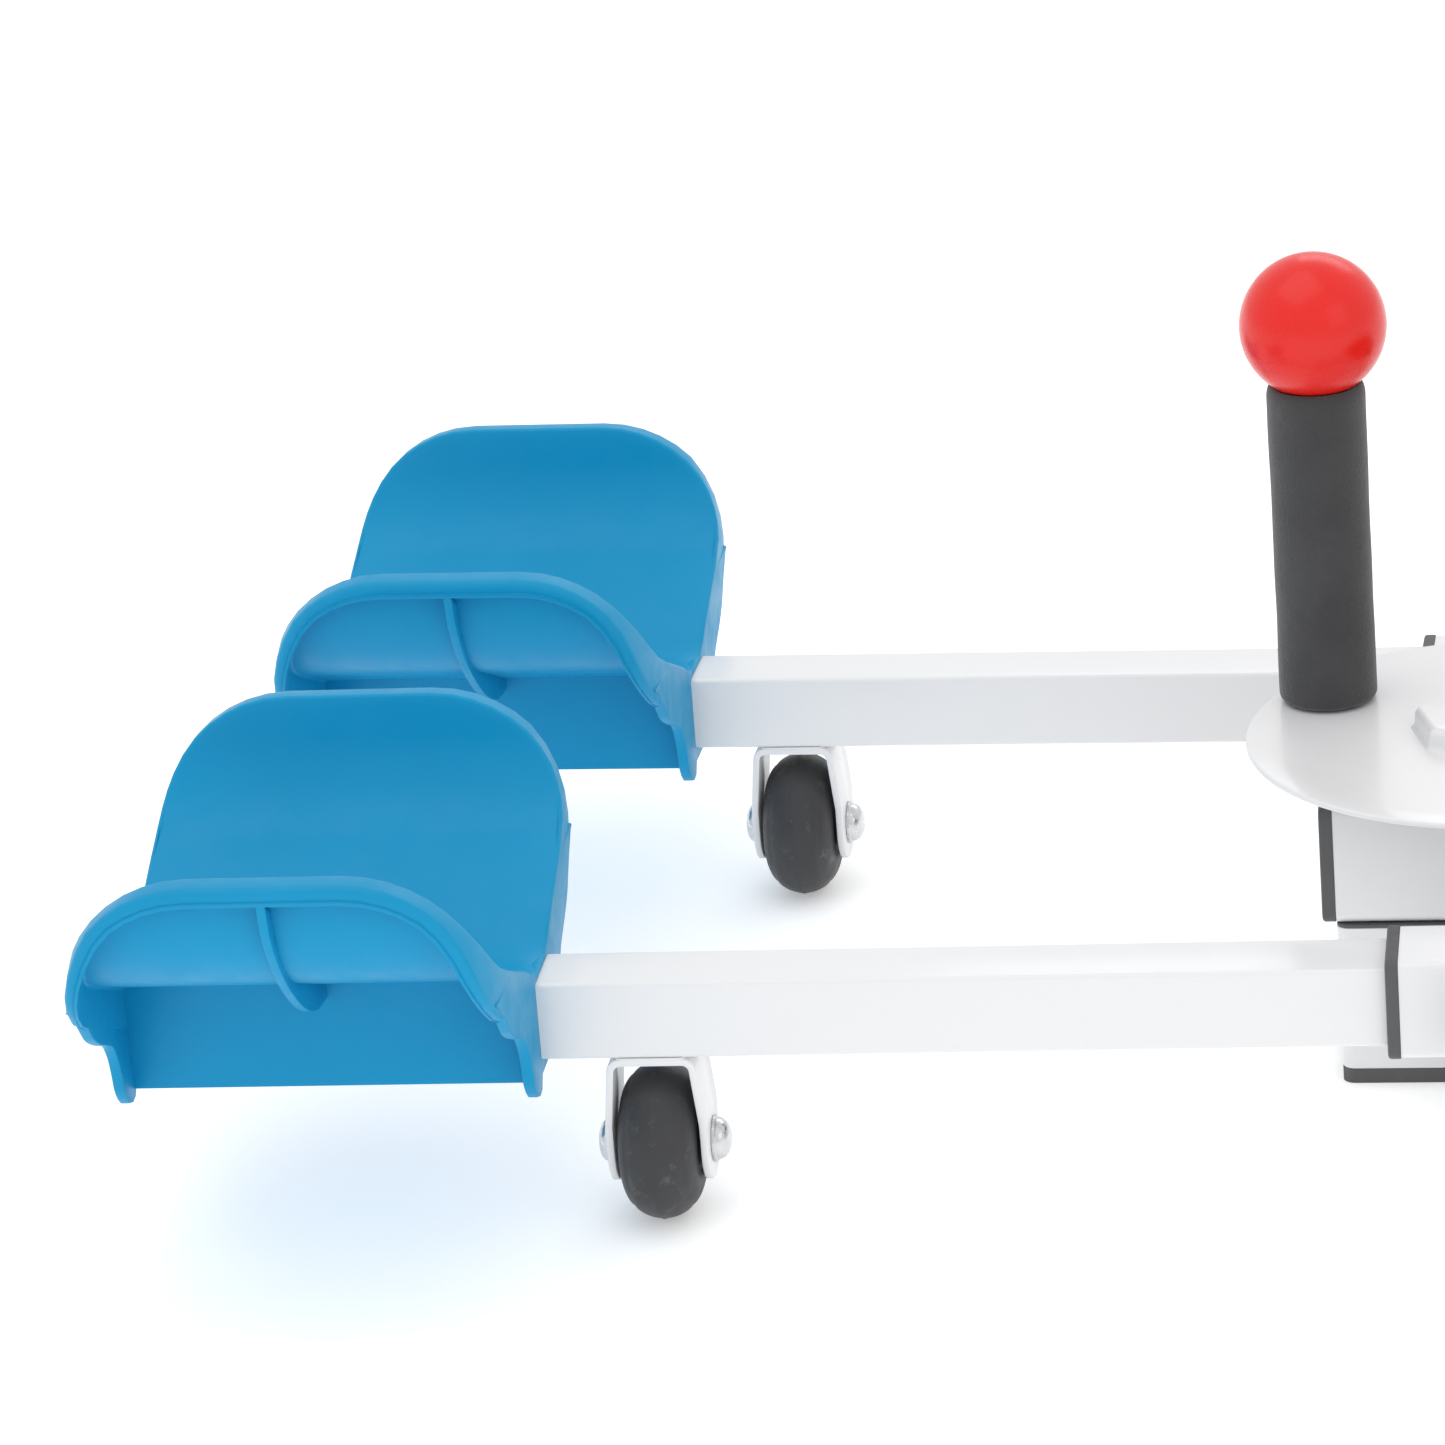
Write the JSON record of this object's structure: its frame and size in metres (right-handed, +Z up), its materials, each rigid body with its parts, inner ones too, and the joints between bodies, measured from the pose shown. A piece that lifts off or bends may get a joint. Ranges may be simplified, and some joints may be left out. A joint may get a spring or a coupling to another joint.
{
  "type": "leg stretching machine",
  "caption": "Floor-level leg stretcher: castered telescopic arms with moulded calf cradles swing apart, geared to a crank handwheel with foam grip and ball knob, in front of a padded seat.",
  "frame": {"origin": "centre of the footprint, on the floor", "axes": "+X along the beam from the cradles to the seat, +Y to the far arm, +Z up"},
  "size_m": [0.8148, 0.4369, 0.257],
  "materials": {
    "white_paint": "gloss white powder coat",
    "black_plastic": "satin black injection-moulded plastic",
    "foot_rubber": "matt black rubber",
    "zinc_steel": "bright zinc plated steel",
    "gear_nylon": "natural nylon",
    "seat_vinyl": "grained black vinyl",
    "ball_red": "gloss red phenolic",
    "grip_foam": "closed-cell foam",
    "cradle_blue": "satin blue polypropylene",
    "wheel_rubber": "hard black rubber"
  },
  "bodies": {
    "base": {"main_beam": "white_paint", "beam_front_cap": "black_plastic", "beam_rear_cap": "black_plastic", "front_post": "white_paint", "front_post_pad": "black_plastic", "front_foot": "foot_rubber", "rear_foot_bar": "white_paint", "rear_bar_pad": "black_plastic", "rear_bar_caps": "black_plastic", "rear_feet": "foot_rubber", "gear_case": "white_paint", "gear_case_cover": "white_paint", "case_screws": "zinc_steel", "case_spacer": "white_paint", "pivot_bushes": "gear_nylon", "idler_pin": "zinc_steel", "wheel_bearing": "black_plastic", "shaft_spacer": "black_plastic", "shaft_foot_bush": "gear_nylon", "seat_board": "black_plastic", "seat_pad": "seat_vinyl", "seat_screws": "zinc_steel"},
    "handwheel": {"handwheel_disc": "white_paint", "handwheel_hub": "white_paint", "crank_shaft": "zinc_steel", "drive_pinion": "zinc_steel", "hub_nut": "zinc_steel", "grip_spindle": "zinc_steel", "ball_knob": "ball_red"},
    "grip": {"foam_grip": "grip_foam", "grip_tube": "zinc_steel"},
    "idler": {"idler_gear": "gear_nylon"},
    "near_arm": {"near_sleeve": "white_paint", "near_guide_collar": "black_plastic", "near_sleeve_cap": "black_plastic", "near_swing_plate": "white_paint", "near_pivot_bolt": "zinc_steel", "near_arm_gear": "gear_nylon"},
    "near_clamp": {"near_clamp_knob": "black_plastic"},
    "near_leg": {"near_leg_tube": "white_paint", "near_slide_plug": "black_plastic", "near_cradle": "cradle_blue", "near_fork": "white_paint", "near_axle_bolt": "zinc_steel"},
    "near_caster": {"near_wheel": "wheel_rubber"},
    "far_arm": {"far_sleeve": "white_paint", "far_guide_collar": "black_plastic", "far_sleeve_cap": "black_plastic", "far_swing_plate": "white_paint", "far_pivot_bolt": "zinc_steel", "far_arm_gear": "gear_nylon"},
    "far_clamp": {"far_clamp_knob": "black_plastic"},
    "far_leg": {"far_leg_tube": "white_paint", "far_slide_plug": "black_plastic", "far_cradle": "cradle_blue", "far_fork": "white_paint", "far_axle_bolt": "zinc_steel"},
    "far_caster": {"far_wheel": "wheel_rubber"}
  },
  "joints": [
    {"name": "near_arm_swing", "type": "hinge", "parent": "base", "child": "near_arm", "pos_m": [0.10547, -0.048, 0.0705], "axis": [0, 0, 1], "range_deg": [0, 85]},
    {"name": "far_arm_swing", "type": "hinge", "parent": "base", "child": "far_arm", "pos_m": [0.10547, 0.048, 0.0705], "axis": [0, 0, 1], "range_deg": [-85, 0]},
    {"name": "handwheel_turn", "type": "hinge", "parent": "base", "child": "handwheel", "pos_m": [0.0178, 0, 0.106], "axis": [0, 0, 1], "range_deg": [0, 408]},
    {"name": "idler_turn", "type": "hinge", "parent": "base", "child": "idler", "pos_m": [0.0518, 0, 0.029], "axis": [0, 0, 1], "range_deg": [-170, 0]},
    {"name": "grip_spin", "type": "hinge", "parent": "handwheel", "child": "grip", "pos_m": [-0.03915, 0.03028, 0.16], "axis": [0, 0, 1], "continuous": true},
    {"name": "near_leg_slide", "type": "slide", "parent": "near_arm", "child": "near_leg", "axis": [-0.9998, -0.0175, 0], "range_m": [-0.02, 0.055]},
    {"name": "near_clamp_turn", "type": "hinge", "parent": "near_arm", "child": "near_clamp", "pos_m": [0.02217, -0.14657, 0.0705], "axis": [0.0175, -0.9998, 0], "range_deg": [-360, 0]},
    {"name": "near_wheel_roll", "type": "hinge", "parent": "near_leg", "child": "near_caster", "pos_m": [-0.24024, -0.13115, 0.0248], "axis": [0.9998, 0.0175, 0], "continuous": true},
    {"name": "far_leg_slide", "type": "slide", "parent": "far_arm", "child": "far_leg", "axis": [-0.9998, 0.0175, 0], "range_m": [-0.0112, 0.0638]},
    {"name": "far_clamp_turn", "type": "hinge", "parent": "far_arm", "child": "far_clamp", "pos_m": [0.02217, 0.14657, 0.0705], "axis": [0.0175, 0.9998, 0], "range_deg": [-360, 0]},
    {"name": "far_wheel_roll", "type": "hinge", "parent": "far_leg", "child": "far_caster", "pos_m": [-0.23144, 0.13099, 0.0248], "axis": [0.9998, -0.0175, 0], "continuous": true}
  ],
  "couplings": [
    {"joint": "far_arm_swing", "follows": "near_arm_swing", "ratio": -1},
    {"joint": "handwheel_turn", "follows": "near_arm_swing", "ratio": 4.8},
    {"joint": "idler_turn", "follows": "near_arm_swing", "ratio": -2}
  ]
}
